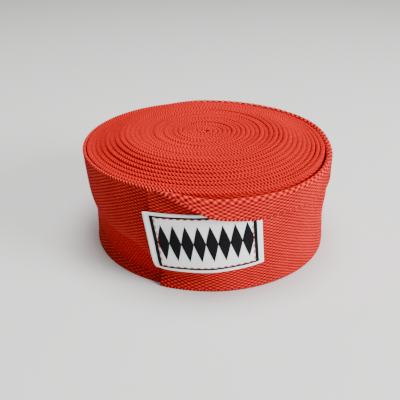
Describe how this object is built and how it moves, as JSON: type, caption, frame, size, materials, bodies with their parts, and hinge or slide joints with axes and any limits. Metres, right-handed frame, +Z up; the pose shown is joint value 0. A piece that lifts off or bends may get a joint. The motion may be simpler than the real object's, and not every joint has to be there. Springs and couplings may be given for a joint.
{
  "type": "boxing hand wrap",
  "caption": "Woven cotton hand wrap strip rolled up on its edge, with a labelled hook-and-loop closure tab, an outer lap that unrolls and a thumb loop in its core.",
  "frame": {"origin": "on the table under the middle of the roll's bounding box", "axes": "+Z up along the axis of the roll, -Y towards the front where the label sits, +X to the right"},
  "size_m": [0.1127, 0.117, 0.05],
  "materials": {
    "red_cotton": "coarse woven cotton, matt",
    "red_tape": "narrow woven cotton tape, matt",
    "red_thread": "spun polyester thread",
    "black_hook_tape": "moulded nylon hooks on a woven ground",
    "red_loop_tape": "brushed nylon loops, slightly fuzzy",
    "white_label": "fine woven satin label, slight sheen",
    "black_yarn": "woven black yarn, matt"
  },
  "bodies": {
    "roll": {"rolled_strip": "red_cotton", "thumb_loop": "red_tape", "thumb_loop_stitches": "red_thread", "loop_patch": "red_loop_tape", "loop_patch_stitches": "red_thread"},
    "lap": {"outer_lap": "red_cotton"},
    "tab": {"closure_tab": "red_cotton", "hook_patch": "black_hook_tape", "hook_patch_stitches": "red_thread", "label": "white_label", "label_frame": "black_yarn", "label_motif": "black_yarn", "label_stitches": "red_thread"}
  },
  "joints": [
    {"name": "lap_unroll", "type": "hinge", "parent": "roll", "child": "lap", "pos_m": [0.04158, 0.03842, 0.0225], "axis": [0, 0, 1], "range_deg": [0, 75]},
    {"name": "closure_peel", "type": "hinge", "parent": "lap", "child": "tab", "pos_m": [0.02933, -0.04888, 0.0225], "axis": [0, 0, 1], "range_deg": [0, 150]}
  ]
}
